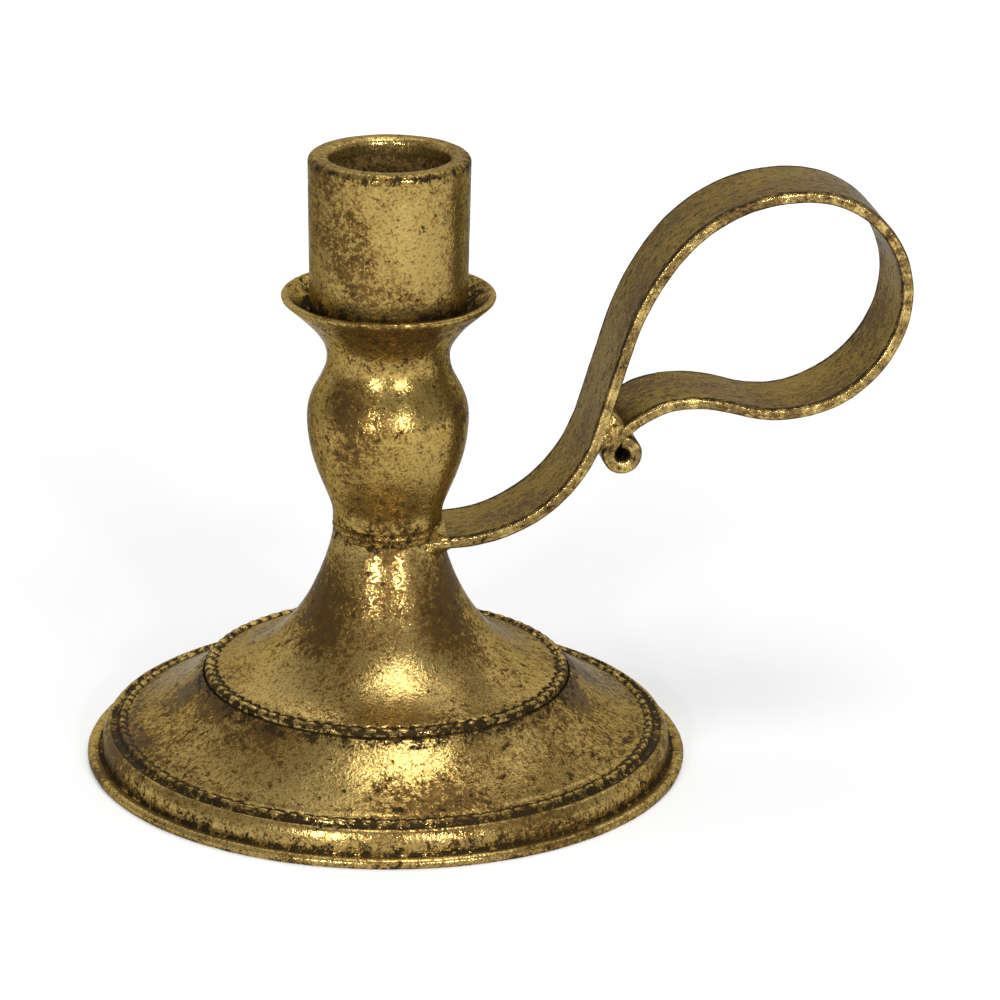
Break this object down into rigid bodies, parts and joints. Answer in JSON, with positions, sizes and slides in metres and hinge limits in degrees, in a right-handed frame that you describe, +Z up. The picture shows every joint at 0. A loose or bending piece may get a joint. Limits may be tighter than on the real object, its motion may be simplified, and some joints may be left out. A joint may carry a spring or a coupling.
{
  "type": "chamber candlestick",
  "caption": "Antique gilt chamber candlestick: turned stem with drip collar and thick-walled cup on a stepped round foot, with a flat bar bent into a finger loop.",
  "frame": {"origin": "on the axis of the stem, at the level that the foot rests on", "axes": "+Z up along the stem to the candle cup, +X from the stem towards the finger loop, +Y across the bar of the handle"},
  "size_m": [0.1564, 0.115, 0.1194],
  "materials": {
    "gilt_foot": "antique gilt, worn to brown in patches, satin",
    "gilt_stem": "antique gilt, worn to brown in patches, satin",
    "gilt_cup": "antique gilt, rubbed bright on the front, satin",
    "gilt_bar": "dull antique gilt with rubbed edges",
    "gilt_braze": "antique gilt over rough braze metal",
    "zinc_steel": "zinc plated"
  },
  "bodies": {
    "root": {"foot_pan": "gilt_foot", "trumpet_foot": "gilt_foot", "stem": "gilt_stem", "candle_cup": "gilt_cup", "tie_screw": "zinc_steel", "foot_washer": "zinc_steel", "foot_nut": "zinc_steel", "handle_bar": "gilt_bar", "neck_braze": "gilt_braze", "loop_braze": "gilt_braze"}
  },
  "joints": []
}
